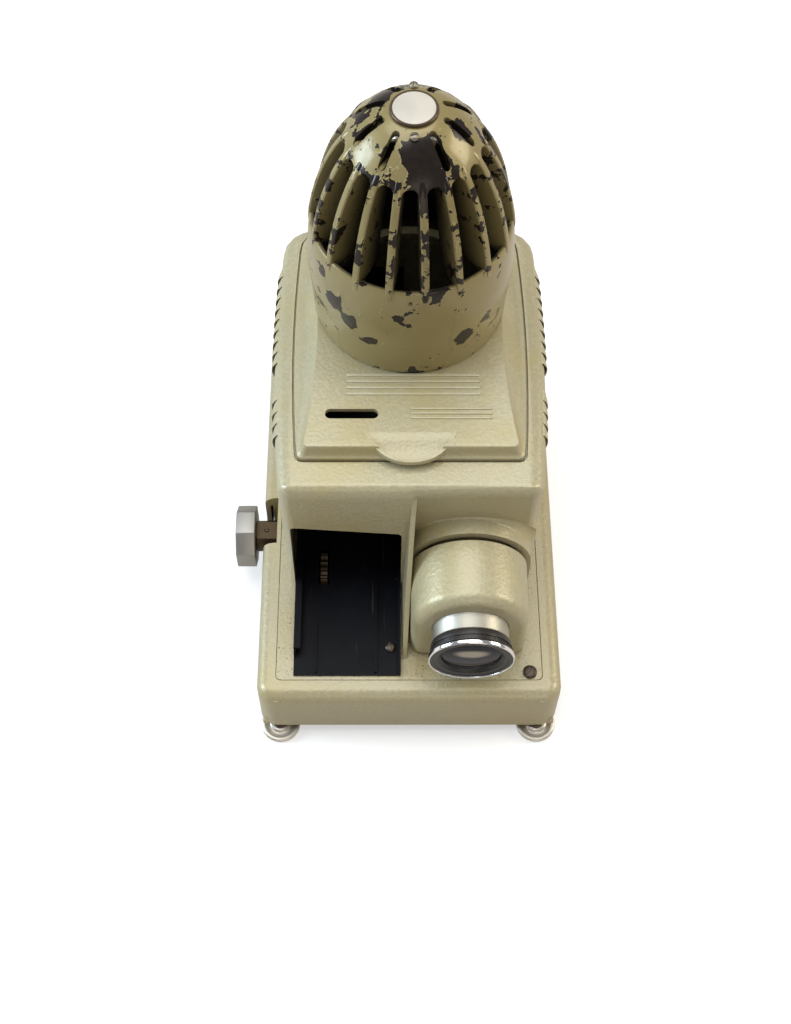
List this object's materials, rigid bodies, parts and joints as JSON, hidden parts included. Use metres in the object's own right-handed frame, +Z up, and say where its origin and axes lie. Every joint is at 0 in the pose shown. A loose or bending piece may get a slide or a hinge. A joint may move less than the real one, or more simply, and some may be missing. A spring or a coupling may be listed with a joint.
{
  "type": "slide projector",
  "caption": "Automatic slide projector: cast base and lamp house, hinged lid with finned chimney, geared focusing lens carriage, magazine channel, slide changer, lamp, fan and levelling feet.",
  "frame": {"origin": "centre of the footprint, on the surface that the four feet stand on", "axes": "+Z up, -Y towards the lens and the screen, +X to the right as seen from in front"},
  "size_m": [0.192, 0.273, 0.3102],
  "materials": {
    "hammertone": "champagne hammertone enamel on a light-alloy casting",
    "deck_hammertone": "champagne hammertone enamel on sheet steel",
    "cream_enamel": "worn cream-khaki enamel over a dark casting, with chips",
    "black_enamel": "black satin enamel, scratched",
    "aluminium": "turned and brushed aluminium",
    "chrome": "bright chrome plate",
    "steel": "plain turned steel",
    "blackened_steel": "blackened steel",
    "brass": "machined brass",
    "rubber": "moulded rubber",
    "bakelite": "moulded black thermoset",
    "ceramic": "unglazed ceramic",
    "glass": "clear coated glass"
  },
  "bodies": {
    "base": {"base_casting": "hammertone", "upper_housing": "hammertone", "deck_plate": "deck_hammertone", "base_plate": "black_enamel", "magazine_channel": "black_enamel", "tunnel_shield": "black_enamel", "slide_gate": "black_enamel", "condenser_holder": "black_enamel", "changer_guide_rod": "chrome", "reflector": "chrome", "base_plate_screw_front_left": "steel", "base_plate_screw_front_right": "steel", "base_plate_screw_rear_left": "steel", "base_plate_screw_rear_right": "steel", "hinge_pin_left": "steel", "hinge_pin_right": "steel", "channel_screw": "steel", "shaft_bracket": "steel", "transport_bracket": "steel", "lamp_bracket": "steel", "deck_screw": "blackened_steel", "changer_motor": "blackened_steel", "fan_motor": "blackened_steel", "shaft_bush": "brass", "rear_foot_left": "rubber", "rear_foot_right": "rubber", "mains_inlet": "bakelite", "power_switch": "bakelite", "remote_socket": "bakelite", "lamp_socket": "ceramic", "condenser_front": "glass", "heat_filter": "glass", "condenser_rear": "glass", "lamp_bulb": "glass"},
    "lid": {"lid": "hammertone", "chimney": "cream_enamel", "badge": "aluminium", "chimney_screw_front": "steel", "chimney_screw_rear": "steel"},
    "lens_carriage": {"lens_carriage": "hammertone", "focus_rack": "brass"},
    "lens": {"lens_barrel": "aluminium", "lens_grip_ring": "bakelite", "lens_front_ring": "chrome", "front_lens_element": "glass", "rear_lens_element": "glass"},
    "focus_knob": {"focus_knob": "aluminium", "focus_hub": "steel", "focus_shaft": "steel"},
    "slide_changer": {"slide_shuttle": "steel", "slide_pusher": "steel"},
    "changer_drive": {"changer_pinion": "brass"},
    "transport_wheel": {"transport_wheel": "brass"},
    "fan": {"fan_impeller": "steel"},
    "foot_screw_left": {"foot_screw_left": "blackened_steel"},
    "foot_disc_left": {"foot_disc_left": "aluminium"},
    "foot_screw_right": {"foot_screw_right": "blackened_steel"},
    "foot_disc_right": {"foot_disc_right": "aluminium"},
    "power_switch": {"power_switch_rocker": "bakelite"},
    "advance_button": {"advance_button": "bakelite"}
  },
  "joints": [
    {"name": "lid_hinge", "type": "hinge", "parent": "base", "child": "lid", "pos_m": [0.0085, 0.127, 0.1577], "axis": [-1, 0, 0], "range_deg": [0, 80]},
    {"name": "carriage_slide", "type": "slide", "parent": "base", "child": "lens_carriage", "axis": [0, -1, 0], "range_m": [0, 0.012]},
    {"name": "focus_turn", "type": "hinge", "parent": "base", "child": "focus_knob", "pos_m": [-0.0845, -0.013, 0.03], "axis": [1, 0, 0], "range_deg": [0, 96]},
    {"name": "lens_slide", "type": "slide", "parent": "lens_carriage", "child": "lens", "axis": [0, -1, 0], "range_m": [-0.009, 0.025]},
    {"name": "changer_slide", "type": "slide", "parent": "base", "child": "slide_changer", "axis": [1, 0, 0], "range_m": [0, 0.0693]},
    {"name": "changer_turn", "type": "hinge", "parent": "base", "child": "changer_drive", "pos_m": [0.0115, 0.0285, 0.022], "axis": [0, 1, 0], "range_deg": [0, 552]},
    {"name": "transport_turn", "type": "hinge", "parent": "base", "child": "transport_wheel", "pos_m": [-0.0415, -0.0455, 0.0397], "axis": [1, 0, 0], "continuous": true},
    {"name": "fan_turn", "type": "hinge", "parent": "base", "child": "fan", "pos_m": [0.0422, 0.0865, 0.02], "axis": [0, 0, 1], "continuous": true},
    {"name": "foot_left_lift", "type": "slide", "parent": "base", "child": "foot_screw_left", "axis": [0, 0, -1], "range_m": [0, 0.01]},
    {"name": "foot_left_turn", "type": "hinge", "parent": "foot_screw_left", "child": "foot_disc_left", "pos_m": [-0.0675, -0.125, 0], "axis": [0, 0, 1], "range_deg": [0, 2400.1]},
    {"name": "foot_right_lift", "type": "slide", "parent": "base", "child": "foot_screw_right", "axis": [0, 0, -1], "range_m": [0, 0.01]},
    {"name": "foot_right_turn", "type": "hinge", "parent": "foot_screw_right", "child": "foot_disc_right", "pos_m": [0.0845, -0.125, 0], "axis": [0, 0, 1], "range_deg": [0, 2400.1]},
    {"name": "switch_rock", "type": "hinge", "parent": "base", "child": "power_switch", "pos_m": [0.0265, 0.1305, 0.028], "axis": [1, 0, 0], "range_deg": [-12, 12]},
    {"name": "button_press", "type": "slide", "parent": "base", "child": "advance_button", "axis": [0, -1, 0], "range_m": [0, 0.003], "stiffness_N_per_m": 400}
  ],
  "couplings": [
    {"joint": "focus_turn", "follows": "carriage_slide", "rad_per_m": 138.89},
    {"joint": "changer_turn", "follows": "changer_slide", "rad_per_m": 138.89},
    {"joint": "foot_left_turn", "follows": "foot_left_lift", "rad_per_m": 4188.8},
    {"joint": "foot_right_turn", "follows": "foot_right_lift", "rad_per_m": 4188.8}
  ]
}
